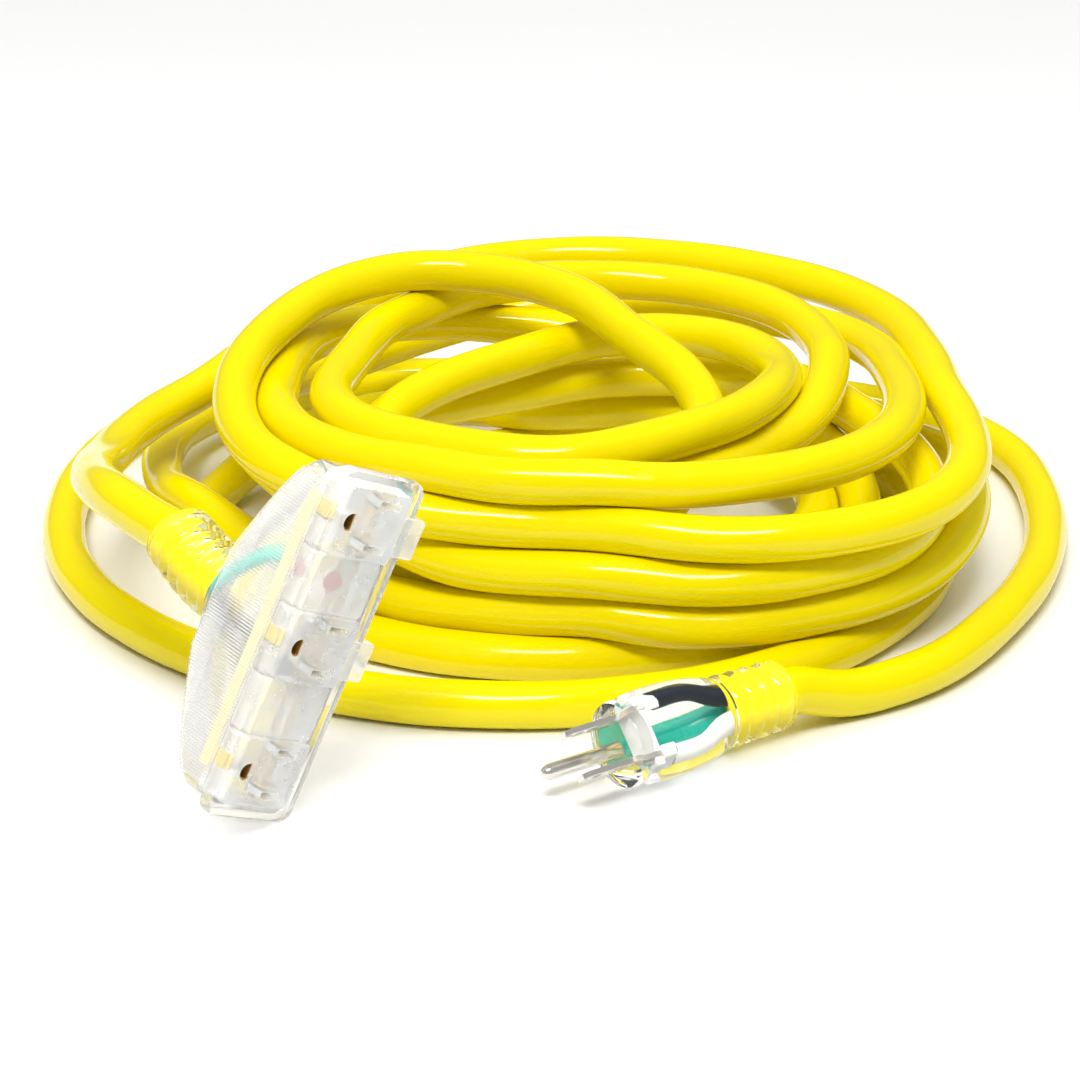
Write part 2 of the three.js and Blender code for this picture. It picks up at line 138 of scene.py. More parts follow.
def tap_place():
    """The block's own frame: X up along it, Y out of a broad side, Z out of the outlets, in millimetres."""
    z = Vector(MOUNTS["outlet_2_face"]["axis"]).normalized()
    y = Vector(MOUNTS["block_broad_side"]["axis"])
    y = (y - z * y.dot(z)).normalized()
    return axes(Vector(MOUNTS["outlet_2_face"]["pos_m"]), y.cross(z), y, z)


def plug_place():
    """The plug's own frame: X across its blades, Y towards its pin, Z out of its face, in millimetres."""
    z = Vector(MOUNTS["plug_face"]["axis"]).normalized()
    x = middle("line_blade") - middle("neutral_blade")
    x = (x - z * x.dot(z)).normalized()
    y = z.cross(x)
    return axes(Vector(MOUNTS["plug_face"]["pos_m"]) - y * MM, x, y, z)


TAP = tap_place()
PLUG = plug_place()


# ---- Cord ----

def eased(stations, values, wanted):
    """Values at the wanted stations, on a smooth curve through the given ones."""
    slopes = np.gradient(values, stations, axis=0)
    i = np.clip(np.searchsorted(stations, wanted) - 1, 0, len(stations) - 2)
    width = (stations[i + 1] - stations[i])[:, None]
    t = (wanted - stations[i])[:, None] / width
    return ((2 * t**3 - 3 * t**2 + 1) * values[i] + (t**3 - 2 * t**2 + t) * width * slopes[i]
            + (3 * t**2 - 2 * t**3) * values[i + 1] + (t**3 - t**2) * width * slopes[i + 1])


def lengths_along(points):
    steps = np.linalg.norm(np.diff(points, axis=0), axis=1)
    return np.concatenate([[0.0], np.cumsum(steps)])


def evenly(points, spacing):
    along = lengths_along(points)
    wanted = np.linspace(0, along[-1], int(round(along[-1] / spacing)) + 1)
    return np.stack([np.interp(wanted, along, points[:, axis]) for axis in range(3)], axis=1)


def smoothed(points, samples, spacing):
    """Evenly spaced points on a smooth curve through the given ones."""
    along = lengths_along(points)
    return evenly(eased(along, points, np.linspace(0, along[-1], samples)), spacing)


def wound_turns():
    """The coil's centreline, 24 points to a turn, going clockwise from the back left."""
    values = np.array([pair for turn in TURNS for pair in turn], float)
    eighths = np.linspace(0, len(values) - 1, 3 * (len(values) - 1) + 1)
    reach, height = eased(np.arange(len(values)), values, eighths).T
    angle = np.radians(135 - 45 * eighths)
    x = COIL_MIDDLE[0] + reach * np.cos(angle)
    y = COIL_MIDDLE[1] + reach * np.sin(angle)
    return np.stack([x, y, height], axis=1)


def inside_tap():
    """The jacket's way out of the block: its neck, then the bend of its strain relief."""
    ways = [(0, 0, JACKET_STRIPPED)]
    radius = TAP_BOOT_LENGTH / TAP_BOOT_BEND
    for step in range(5):
        turn = TAP_BOOT_BEND * step / 4
        ways.append((radius * (1 - math.cos(turn)), 0, NECK_END - radius * math.sin(turn)))
    return [TAP @ Vector(way) / MM for way in ways]


def inside_plug():
    """The jacket's way into the plug, from a little before its strain relief."""
    before = 6.0
    depths = np.linspace(-PLUG_LENGTH - PLUG_BOOT_LENGTH - before, JACKET_STRIPPED, 5)
    return [PLUG @ Vector((0, 0, depth)) / MM for depth in depths]


def laid_route():
    """The whole centreline before it settles, from inside the block's neck to inside the plug."""
    parts = [inside_tap(), TAP_ROUTE, wound_turns(), PLUG_ROUTE[::-1], inside_plug()]
    corners = np.vstack(parts).astype(float)
    steps = np.linalg.norm(np.diff(corners, axis=0), axis=1)
    stations = np.concatenate([[0.0], np.cumsum(steps**0.7)])
    return evenly(eased(stations, corners, np.linspace(0, stations[-1], 12 * len(corners))), LINK)


def straightened(points, free):
    """One small step of the cord's stiffness."""
    bow = np.zeros_like(points)
    bow[1:-1] = points[:-2] - 2 * points[1:-1] + points[2:]
    change = np.zeros_like(points)
    change[2:-2] = bow[1:-3] - 2 * bow[2:-2] + bow[3:-1]
    return points - STIFFNESS * free * change


def kept_apart(points, free, apart, neighbours):
    """Moves strands that touch until their middles are `apart`, leaving out points close along the cord."""
    squares = (points**2).sum(axis=1)
    distance2 = squares[:, None] + squares[None, :] - 2 * points @ points.T
    first, second = np.nonzero(np.triu(distance2 < apart**2, neighbours))
    between = points[second] - points[first]
    gap = np.linalg.norm(between, axis=1)[:, None] + 1e-9
    push = between * (apart - gap) / gap / 2
    moved = np.zeros_like(points)
    touches = np.zeros(len(points))
    np.add.at(moved, first, -push)
    np.add.at(moved, second, push)
    np.add.at(touches, first, 1)
    np.add.at(touches, second, 1)
    return points + free * moved / np.maximum(1, touches / 2)[:, None]


def held_apart(points, free, start, reach, stride, least=None):
    """Sets the distance of points that are `reach` links apart: exactly a link, or no less than `least`."""
    i = np.arange(start, len(points) - reach, stride)
    between = points[i + reach] - points[i]
    gap = np.linalg.norm(between, axis=1)[:, None]
    weight = np.maximum(free[i] + free[i + reach], 1e-9)
    if least is None:
        change = between * (gap - LINK) / gap / weight
    else:
        change = -between * np.maximum(0, least - gap) / gap / 4
    points[i] += change * free[i]
    points[i + reach] -= change * free[i + reach]


def settled(laid):
    """Lets the laid cord sink under its weight: no stretch, no tight bend, no strand inside another."""
    points = laid.copy()
    free = np.ones((len(points), 1))
    free[:PINNED] = 0
    free[-PINNED:] = 0
    chord = 2 * TIGHTEST_BEND * math.sin(BEND_LINKS * LINK / 2 / TIGHTEST_BEND)
    for turn in range(SETTLING_ROUNDS):
        hold = 0.3 - 0.27 * turn / SETTLING_ROUNDS
        points[:, 2:] -= SINKING * free
        points += hold * free * (laid - points)
        for _ in range(3):
            points = straightened(points, free)
        for _ in range(3):
            points = kept_apart(points, free, CORD_DIAMETER + 0.2, 3)
            points[:, 2] = np.maximum(points[:, 2], CORD_DIAMETER / 2)
            for start in range(BEND_LINKS):
                held_apart(points, free, start, BEND_LINKS, BEND_LINKS + 1, chord)
            for start in range(2):
                held_apart(points, free, start, 1, 2)
    return points


# ---- Mesh helpers ----

def new_piece(name, points, faces, finish, slot, place=None):
    mesh = bpy.data.meshes.new(name)
    mesh.from_pydata([tuple(point) for point in points], [], faces)
    mesh.update()
    if place is not None:
        mesh.transform(place)
    mesh.shade_smooth()
    piece = bpy.data.objects.new(name, mesh)
    bpy.context.scene.collection.objects.link(piece)
    mesh.materials.append(finish)
    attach(piece, "root")
    return piece


def ring_faces(rings, sides, capped=True):
    """Faces from each ring of points to the next, and one over each end if it is capped."""
    faces = []
    for start in range(0, (rings - 1) * sides, sides):
        for side in range(sides):
            following = (side + 1) % sides
            faces.append([start + side, start + following, start + sides + following, start + sides + side])
    if capped:
        faces.append(list(range(sides))[::-1])
        faces.append([(rings - 1) * sides + side for side in range(sides)])
    return faces


def looped_faces(rings, sides):
    """Faces of a tube's wall: the rings go down one side of it and up the other, back to the first."""
    faces = ring_faces(rings, sides, capped=False)
    last = (rings - 1) * sides
    for side in range(sides):
        following = (side + 1) % sides
        faces.append([last + side, last + following, following, side])
    return faces


def swept(path, radius, sides, swelling=0.0, lay=1.0):
    """Points and faces of a tube round a path; its surface can swell faintly over twisted conductors."""
    ahead = np.gradient(path, axis=0)
    ahead /= np.linalg.norm(ahead, axis=1)[:, None]
    side = np.cross(ahead[0], (0, 0, 1))
    rings = []
    angles = np.linspace(0, 2 * math.pi, sides, endpoint=False)
    twists = lengths_along(path) * 2 * math.pi / lay
    for centre, heading, twist in zip(path, ahead, twists):
        side = side - heading * side.dot(heading)
        side /= np.linalg.norm(side)
        up = np.cross(side, heading)
        out = np.cos(angles)[:, None] * side + np.sin(angles)[:, None] * up
        rings.append(centre + (radius + swelling * np.cos(3 * angles - twist))[:, None] * out)
    return np.concatenate(rings), ring_faces(len(rings), sides)


def turned(profile, sides):
    """Rings of points about Z, from (radius, height) pairs."""
    angles = np.linspace(0, 2 * math.pi, sides, endpoint=False)
    return [(radius * math.cos(angle), radius * math.sin(angle), height)
            for radius, height in profile for angle in angles]


def rounded_outline(half_length, half_width, corner, steps=6):
    """A rectangle with round corners, always with the same number of points."""
    corner = min(corner, half_length, half_width)
    points = []
    for quarter, (sx, sy) in enumerate(((1, 1), (-1, 1), (-1, -1), (1, -1))):
        for step in range(steps + 1):
            angle = math.pi / 2 * (quarter + step / steps)
            points.append((sx * (half_length - corner) + corner * math.cos(angle),
                           sy * (half_width - corner) + corner * math.sin(angle)))
    return points


def lofted(levels):
    """Points and faces of a solid through rounded rectangles: (height, half length, half width, corner)."""
    outlines = [(height, rounded_outline(*size)) for height, *size in levels]
    points = [(x, y, height) for height, outline in outlines for x, y in outline]
    return points, ring_faces(len(levels), len(outlines[0][1]))


def soft_block(half_length, half_width, low, high, corner, edge):
    """A lofted block whose upper and lower edges are rounded by `edge`."""
    levels = []
    for step in range(4):
        turn = math.pi / 2 * step / 3
        inset = edge * (1 - math.sin(turn))
        levels.append((low + edge * (1 - math.cos(turn)), half_length - inset, half_width - inset, corner))
    top = [(low + high - height, *size) for height, *size in levels[::-1]]
    return lofted(levels + top)


def ribbed_profile(length, wide, ribs):
    """A sleeve's wall from its root down and back up its bore: round ribs that get smaller."""
    steps = 12 * ribs
    profile = [(BOOT_BORE, 0)]
    for step in range(steps + 1):
        share = step / steps
        body = wide + (BOOT_END - wide) * share
        wave = 0.5 - 0.5 * math.cos(2 * math.pi * ribs * share)
        profile.append((body - BOOT_GROOVE * (1 - wave**0.45), -length * share))
    lip = 0.8
    profile.append((BOOT_END - lip * 0.3, -length - lip * 0.7))
    profile.append((BOOT_END - lip, -length - lip))
    profile.append((BOOT_BORE, -length - lip))
    return profile


def bent(points, top, length, angle):
    """Bends what lies below `top` into an arc towards +X."""
    radius = length / angle
    result = []
    for x, y, z in points:
        turn = max(0.0, top - z) / radius
        if turn > 0:
            out = radius * (1 - math.cos(turn)) + x * math.cos(turn)
            z = top - radius * math.sin(turn) + x * math.sin(turn)
            x = out
        result.append((x, y, z))
    return result


def facing_out(piece):
    shape = bmesh.new()
    shape.from_mesh(piece.data)
    bmesh.ops.recalc_face_normals(shape, faces=shape.faces)
    shape.to_mesh(piece.data)
    shape.free()


def carved(piece, tools):
    """Cuts the tool solids out of a piece and bakes the result into its mesh."""
    for number, (points, faces, place) in enumerate(tools):
        mesh = bpy.data.meshes.new("tool")
        mesh.from_pydata([tuple(point) for point in points], [], faces)
        mesh.transform(place)
        tool = bpy.data.objects.new("tool", mesh)
        bpy.context.scene.collection.objects.link(tool)
        facing_out(tool)
        cut = piece.modifiers.new(f"cut_{number}", "BOOLEAN")
        cut.object = tool
        cut.solver = "EXACT"
    bpy.context.view_layer.update()
    shape = bpy.data.meshes.new_from_object(piece.evaluated_get(bpy.context.evaluated_depsgraph_get()))
    for cut in list(piece.modifiers):
        bpy.data.objects.remove(cut.object)
    piece.modifiers.clear()
    piece.data = shape


def crisp(piece, degrees):
    """Smooth shading that keeps edges sharper than the given angle."""
    shape = bmesh.new()
    shape.from_mesh(piece.data)
    for edge in shape.edges:
        edge.smooth = len(edge.link_faces) == 2 and edge.calc_face_angle(0) < math.radians(degrees)
    for face in shape.faces:
        face.smooth = True
    shape.to_mesh(piece.data)
    shape.free()


def moulded(name, shape, finish, slot, place, tools=(), smooth_below=35):
    """A new piece with its faces turned out, its holes cut, and its edges sharp above an angle in degrees."""
    piece = new_piece(name, *shape, finish, slot, place)
    facing_out(piece)
    if tools:
        carved(piece, tools)
    crisp(piece, smooth_below)
    return piece


def softened(node, finish, width):
    """A copy of a CAD node with its edges rounded, which stands for it."""
    mesh = bpy.data.meshes.new(node + "_shape")
    shape = bmesh.new()
    shape.from_mesh(frame["nodes"][node].data)
    bmesh.ops.remove_doubles(shape, verts=shape.verts, dist=1e-6)
    bmesh.ops.dissolve_limit(shape, angle_limit=math.radians(1), verts=shape.verts, edges=shape.edges)
    shape.to_mesh(mesh)
    shape.free()
    mesh.materials.clear()
    mesh.materials.append(finish)
    piece = bpy.data.objects.new(mesh.name, mesh)
    bpy.context.scene.collection.objects.link(piece)
    rounding = piece.modifiers.new("rounding", "BEVEL")
    rounding.width = width * MM
    rounding.segments = 3
    rounding.limit_method = "ANGLE"
    rounding.angle_limit = math.radians(40)
    rounding.harden_normals = True
    mesh.shade_smooth()
    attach(piece, "root")
    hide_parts(node)
    return piece


# ---- Materials ----

def group_tree(name, inputs):
    """A node group that gives a colour, a roughness and a height."""
    tree = bpy.data.node_groups.new(name, "ShaderNodeTree")
    for label, kind, value in inputs:
        socket = tree.interface.new_socket(label, in_out="INPUT", socket_type=kind)
        socket.default_value = value
    outputs = {"Colour": "NodeSocketColor", "Roughness": "NodeSocketFloat", "Height": "NodeSocketFloat"}
    for label, kind in outputs.items():
        tree.interface.new_socket(label, in_out="OUTPUT", socket_type=kind)
    return tree, tree.nodes.new("NodeGroupInput"), tree.nodes.new("NodeGroupOutput")


def noise(tree, coordinates, scale, detail=3.0, roughness=0.55):
    node = tree.nodes.new("ShaderNodeTexNoise")
    node.inputs["Scale"].default_value = scale
    node.inputs["Detail"].default_value = detail
    node.inputs["Roughness"].default_value = roughness
    tree.links.new(coordinates, node.inputs["Vector"])
    return node.outputs["Fac"]


def spread(tree, value, low, high, to_low, to_high):
    node = tree.nodes.new("ShaderNodeMapRange")
    for label, number in (("From Min", low), ("From Max", high), ("To Min", to_low), ("To Max", to_high)):
        node.inputs[label].default_value = number
    tree.links.new(value, node.inputs["Value"])
    return node.outputs["Result"]


def blended(tree, kind, share, first, second):
    """A mix of two sockets' values."""
    node = tree.nodes.new("ShaderNodeMix")
    node.data_type = kind
    tree.links.new(share, node.inputs["Factor"])
    tree.links.new(first, node.inputs["A"])
    tree.links.new(second, node.inputs["B"])
    return node.outputs["Result"]


def worked_out(tree, operation, *values):
    """The result of a sum with sockets or plain numbers."""
    node = tree.nodes.new("ShaderNodeMath")
    node.operation = operation
    for place, value in enumerate(values):
        if isinstance(value, float):
            node.inputs[place].default_value = value
        else:
            tree.links.new(value, node.inputs[place])
    return node.outputs["Value"]


def vinyl_group():
    """Moulded vinyl: a broad change of tone, faint scuffs that dull it, and the pull marks of its moulding."""
    tree, given, result = group_tree("moulded_vinyl", [
        ("Colour", "NodeSocketColor", (1, 1, 1, 1)),
        ("Shade", "NodeSocketColor", (0.5, 0.5, 0.5, 1)),
        ("Grain", "NodeSocketFloat", 900.0),
        ("Dullest", "NodeSocketFloat", 0.4),
        ("Glossiest", "NodeSocketFloat", 0.2),
    ])
    place = tree.nodes.new("ShaderNodeTexCoord").outputs["Object"]
    shading = spread(tree, noise(tree, place, 14, 2), 0.35, 0.7, 0.0, 0.35)
    tone = blended(tree, "RGBA", shading, given.outputs["Colour"], given.outputs["Shade"])
    scuffs = spread(tree, noise(tree, place, 160, 5, 0.7), 0.56, 0.68, 0.0, 1.0)
    gloss = blended(tree, "FLOAT", scuffs, given.outputs["Glossiest"], given.outputs["Dullest"])
    grain = tree.nodes.new("ShaderNodeTexNoise")
    grain.inputs["Detail"].default_value = 4
    tree.links.new(place, grain.inputs["Vector"])
    tree.links.new(given.outputs["Grain"], grain.inputs["Scale"])
    ripple = spread(tree, noise(tree, place, 70, 2), 0.3, 0.7, 0.0, 1.0)
    height = worked_out(tree, "MULTIPLY_ADD", grain.outputs["Fac"], 0.35, ripple)
    tree.links.new(tone, result.inputs["Colour"])
    tree.links.new(gloss, result.inputs["Roughness"])
    tree.links.new(height, result.inputs["Height"])
    return tree


def metal_group():
    """Stamped sheet: fine drawing lines along it, and patches where handling has dulled the plating."""
    tree, given, result = group_tree("drawn_metal", [
        ("Colour", "NodeSocketColor", (1, 1, 1, 1)),
        ("Tarnish", "NodeSocketColor", (0.5, 0.5, 0.5, 1)),
        ("Amount", "NodeSocketFloat", 0.4),
    ])
    place = tree.nodes.new("ShaderNodeTexCoord").outputs["Object"]
    patches = spread(tree, noise(tree, place, 90, 4, 0.6), 0.45, 0.7, 0.0, 1.0)
    amount = worked_out(tree, "MULTIPLY", patches, given.outputs["Amount"])
    tone = blended(tree, "RGBA", amount, given.outputs["Colour"], given.outputs["Tarnish"])
    stretch = tree.nodes.new("ShaderNodeMapping")
    stretch.inputs["Scale"].default_value = (2400, 2400, 90)
    tree.links.new(place, stretch.inputs["Vector"])
    lines = noise(tree, stretch.outputs["Vector"], 1.0, 2)
    tree.links.new(tone, result.inputs["Colour"])
    tree.links.new(spread(tree, lines, 0.3, 0.7, 0.13, 0.21), result.inputs["Roughness"])
    tree.links.new(lines, result.inputs["Height"])
    return tree


VINYL = vinyl_group()
METAL = metal_group()


def bumped(tree, height, shader, strength, distance):
    bump = tree.nodes.new("ShaderNodeBump")
    bump.inputs["Strength"].default_value = strength
    bump.inputs["Distance"].default_value = distance * MM
    tree.links.new(height, bump.inputs["Height"])
    tree.links.new(bump.outputs["Normal"], shader.inputs["Normal"])


def new_material(name, group, values, strength, distance, plain=()):
    """A material whose colour, gloss and height come from one of the groups, with its own values."""
    material = bpy.data.materials.new(name)
    material.use_nodes = True
    tree = material.node_tree
    shader = tree.nodes["Principled BSDF"]
    effect = tree.nodes.new("ShaderNodeGroup")
    effect.node_tree = group
    for label, value in values.items():
        effect.inputs[label].default_value = value
    tree.links.new(effect.outputs["Colour"], shader.inputs["Base Color"])
    tree.links.new(effect.outputs["Roughness"], shader.inputs["Roughness"])
    bumped(tree, effect.outputs["Height"], shader, strength, distance)
    for label, value in dict(plain).items():
        shader.inputs[label].default_value = value
    return material


def light_passes(material, share):
    """Lets part of the light through to what lies in the clear piece's shadow."""
    tree = material.node_tree
    shader = tree.nodes["Principled BSDF"]
    through = tree.nodes.new("ShaderNodeBsdfTransparent")
    rays = tree.nodes.new("ShaderNodeLightPath")
    mix = tree.nodes.new("ShaderNodeMixShader")
    tree.links.new(worked_out(tree, "MULTIPLY", rays.outputs["Is Shadow Ray"], share), mix.inputs["Fac"])
    tree.links.new(shader.outputs["BSDF"], mix.inputs[1])
    tree.links.new(through.outputs["BSDF"], mix.inputs[2])
    tree.links.new(mix.outputs["Shader"], tree.nodes["Material Output"].inputs["Surface"])


def colour(red, green, blue):
    return (red, green, blue, 1.0)


def coloured_vinyl(name, tone, shade, glossiest=0.2, dullest=0.4, strength=0.25, distance=0.2, plain=()):
    values = {"Colour": tone, "Shade": shade, "Glossiest": glossiest, "Dullest": dullest}
    return new_material(name, VINYL, values, strength, distance, plain)


def clear_vinyl(name, tone, shade, glossiest, dullest, transmission, index, passes):
    """Vinyl that is seen through, and that lets the share `passes` of the light into its shadow."""
    plain = {"Transmission Weight": transmission, "IOR": index}
    material = coloured_vinyl(name, tone, shade, glossiest, dullest, strength=0.15, plain=plain)
    light_passes(material, passes)
    return material


def sheet_metal(name, tone, tarnish, amount, metallic, strength=0.1):
    values = {"Colour": tone, "Tarnish": tarnish, "Amount": amount}
    return new_material(name, METAL, values, strength, 0.05, {"Metallic": metallic})


JACKET = coloured_vinyl("yellow_jacket", colour(0.90, 0.76, 0.0), colour(0.86, 0.69, 0.0), glossiest=0.12,
                        dullest=0.24, strength=0.14, distance=0.1, plain={"Specular IOR Level": 0.32})
CLEAR = clear_vinyl("clear_vinyl", colour(0.99, 0.99, 0.985), colour(0.96, 0.97, 0.97), glossiest=0.06,
                    dullest=0.2, transmission=0.87, index=1.42, passes=0.85)
GLASSY = clear_vinyl("glassy_vinyl", colour(0.985, 0.99, 0.985), colour(0.96, 0.975, 0.97), glossiest=0.03,
                     dullest=0.12, transmission=0.985, index=1.43, passes=0.8)
SLEEVE = clear_vinyl("clear_sleeve", colour(0.99, 0.97, 0.62), colour(0.98, 0.95, 0.5), glossiest=0.04,
                     dullest=0.14, transmission=0.97, index=1.38, passes=0.85)
INSERT = clear_vinyl("clear_insert", colour(0.97, 0.975, 0.97), colour(0.93, 0.945, 0.945), glossiest=0.2,
                     dullest=0.4, transmission=0.6, index=1.03, passes=0.7)
BRIDGE = coloured_vinyl("white_bridge", colour(0.86, 0.87, 0.84), colour(0.78, 0.79, 0.75), glossiest=0.25,
                        dullest=0.45)
GREEN = coloured_vinyl("green_insulation", colour(0.0, 0.52, 0.38), colour(0.0, 0.42, 0.31), glossiest=0.25,
                       dullest=0.45)
BLACK = coloured_vinyl("black_insulation", colour(0.003, 0.005, 0.012), colour(0.006, 0.01, 0.02),
                       glossiest=0.35, dullest=0.5, plain={"Specular IOR Level": 0.1})
WHITE = coloured_vinyl("white_insulation", colour(0.84, 0.84, 0.8), colour(0.76, 0.76, 0.72), glossiest=0.25,
                       dullest=0.45)
LAMP = coloured_vinyl("lamp_red", colour(0.82, 0.16, 0.08), colour(0.7, 0.1, 0.05), glossiest=0.1,
                      dullest=0.25, strength=0.1, distance=0.1, plain={"Transmission Weight": 0.5, "IOR": 1.5})
BRASS = sheet_metal("brass_sheet", colour(0.86, 0.68, 0.36), colour(0.5, 0.33, 0.13), amount=0.5, metallic=1.0)
PALE_BRASS = sheet_metal("pale_brass", colour(0.88, 0.76, 0.33), colour(0.78, 0.62, 0.24), amount=0.5,
                         metallic=0.45)
# Brass of the pin sockets, partly the brass and partly painted shade: dark brown for the shade inside the pin
# holes. Its darker patches are random wear.
HOLE_SHADED_BRASS = sheet_metal("brass_painted_hole_shade", colour(0.5, 0.27, 0.05), colour(0.26, 0.12, 0.02), amount=0.7,
                         metallic=0.5)
NICKEL = sheet_metal("nickel_plate", colour(0.84, 0.81, 0.76), colour(0.6, 0.55, 0.48), amount=0.25,
                     metallic=0.72, strength=0.015)


# ---- Stage ----

def make_camera():
    data = bpy.data.cameras.new("camera")
    data.lens = 100
    data.sensor_width = 36
    data.clip_start = 0.05
    camera = bpy.data.objects.new("camera", data)
    camera.location = (0.069, -0.7492, 0.370)
    camera.rotation_euler = (math.radians(90 - 21.5), 0, 0)
    bpy.context.scene.collection.objects.link(camera)
    bpy.context.scene.camera = camera


def make_floor():
    material = bpy.data.materials.new("pale_floor")
    material.use_nodes = True
    tree = material.node_tree
    shader = tree.nodes["Principled BSDF"]
    place = tree.nodes.new("ShaderNodeTexCoord").outputs["Object"]
    tone = tree.nodes.new("ShaderNodeMix")
    tone.data_type = "RGBA"
    tree.links.new(noise(tree, place, 3, 3), tone.inputs["Factor"])
    tone.inputs["A"].default_value = colour(0.87, 0.865, 0.86)
    tone.inputs["B"].default_value = colour(0.89, 0.888, 0.885)
    tree.links.new(tone.outputs["Result"], shader.inputs["Base Color"])
    shader.inputs["Roughness"].default_value = 0.6
    shader.inputs["Specular IOR Level"].default_value = 0.2
    half = 6.0
    corners = [(-half, -half, 0), (half, -half, 0), (half, half, 0), (-half, half, 0)]
    mesh = bpy.data.meshes.new("floor")
    mesh.from_pydata(corners, [], [(0, 1, 2, 3)])
    mesh.materials.append(material)
    floor = bpy.data.objects.new("floor", mesh)
    bpy.context.scene.collection.objects.link(floor)


def make_light(name, place, width, height, watts, seen_in_gloss=False):
    """A rectangular lamp turned towards the coil."""
    data = bpy.data.lights.new(name, "AREA")
    data.shape = "RECTANGLE"
    data.size = width
    data.size_y = height
    data.energy = watts
    light = bpy.data.objects.new(name, data)
    light.location = place
    target = Vector((0.07, 0.15, 0.03))
    light.rotation_euler = (target - Vector(place)).to_track_quat("-Z", "Y").to_euler()
    light.visible_glossy = seen_in_gloss
    bpy.context.scene.collection.objects.link(light)


def make_world():
    """A white room: dim as a source of light, bright where it is seen directly or through a clear piece."""
    world = bpy.data.worlds.new("studio")
    world.use_nodes = True
    tree = world.node_tree
    background = tree.nodes["Background"]
    background.inputs["Color"].default_value = colour(1.0, 0.995, 0.985)
    rays = tree.nodes.new("ShaderNodeLightPath")
    through = worked_out(tree, "MULTIPLY", rays.outputs["Is Transmission Ray"], 0.7)
    seen = worked_out(tree, "MAXIMUM", rays.outputs["Is Camera Ray"], through)
    tree.links.new(spread(tree, seen, 0.0, 1.0, 0.14, 1.0), background.inputs["Strength"])
    bpy.context.scene.world = world
    bpy.context.scene.view_settings.view_transform = "Standard"


# ---- Outlet block ----

def d_outline(radius, flat):
    """A circle round the pin hole's middle, cut off flat on the side of the slots."""
    angles = [math.radians(angle) for angle in range(-130, 131, 13)]
    return [(radius * math.sin(angle), max(PIN_Y + radius * math.cos(angle), flat)) for angle in angles]


def outlet_place(row):
    """The frame of an outlet, or of the gap between two at a half row."""
    return TAP @ Matrix.Translation((row * OUTLET_PITCH, 0, 0))


def outlet_holes(place, extra):
    """Tools for the two blade slots and the D-shaped pin hole of one outlet, widened by `extra`."""
    low = -HOLE_DEPTH - extra
    high = 2
    slot = soft_block(1.05 + extra, 3.8 + extra, low, high, 0.3, 0.1)
    holes = [(*slot, place @ Matrix.Translation((side * BLADE_X, BLADE_Y, 0))) for side in (-1, 1)]
    outline = d_outline(2.65 + extra, 6.1 - extra)
    points = [(x, y, z) for z in (low, high) for x, y in outline]
    holes.append((points, ring_faces(2, len(outline)), place))
    return holes


def build_tap_body():
    """The clear moulding: a stepped head, sloped shoulders and a short neck."""
    levels = [(0, 49.6, 14.6, 4), (-0.3, 50.2, 15.2, 4), (-0.9, 50.5, 15.5, 4), (-4.2, 50.5, 15.5, 4),
              (-4.8, 50.2, 15.2, 4), (-5.1, 49.3, 14.4, 3.6), (-5.5, 48.7, 13.9, 3.4), (-6.2, 48.5, 13.75, 3.4),
              (-14.4, 48.0, 13.75, 3.4), (-16.0, 47.0, 13.75, 3.4), (-17.4, 45.2, 13.7, 3.4)]
    for step in range(1, 11):
        share = step / 10
        half_length = 45.2 - 30.8 * share**1.3
        levels.append((-17.4 - 15.7 * share, half_length, 13.7 - 1.1 * share, 3.4 + 6 * share**2))
    levels += [(-33.9, 13.4, 12.3, 11), (-34.8, 12.6, 12.0, 12), (-35.5, 12.0, 11.8, 11.8)]
    levels.append((NECK_END + 0.3, 11.4, 11.4, 11.4))
    holes = []
    for row in (-1, 0, 1):
        holes += outlet_holes(outlet_place(row), HOLE_EASE)
    body = moulded("tap_clear_body", lofted(levels), CLEAR, "clear_plastic", TAP, holes)
    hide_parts("tap_body")


def build_ridges():
    """The fine ridges on each broad side: a thin ribbed skin that stands a little out of the body."""
    pitch = 0.9
    stop = 44.5
    top = -6.8
    across = 6
    rows = 6 * int(2 * stop / pitch) + 1
    for side, name in ((1, "tap_ridges_front"), (-1, "tap_ridges_back")):
        points = []
        for row in range(rows):
            x = -stop + 2 * stop * row / (rows - 1)
            crest = 0.5 - 0.5 * math.cos(2 * math.pi * x / pitch)
            deep = -16.6 - 14.6 * min(1.0, (45.0 - abs(x)) / 31.0) ** 0.77
            inner = side * 13.3
            outer = side * (13.74 + 0.32 * crest)
            points.append((x, inner, top))
            points += [(x, outer, top + (deep - top) * step / across) for step in range(across + 1)]
            points.append((x, inner, deep))
        shape = (points, ring_faces(rows, across + 3))
        moulded(name, shape, CLEAR, "clear_plastic", TAP, smooth_below=60)


def pin_socket():
    """A D-shaped sleeve for the earth pin: down its outer side, then up its inner side."""
    walls = ((-0.4, 2.6, 6.15), (-9.5, 2.6, 6.15), (-9.5, 2.2, 6.5), (-0.4, 2.2, 6.5))
    outlines = [(height, d_outline(radius, flat)) for height, radius, flat in walls]
    points = [(x, y, height) for height, outline in outlines for x, y in outline]
    return points, looped_faces(len(outlines), len(outlines[0][1]))


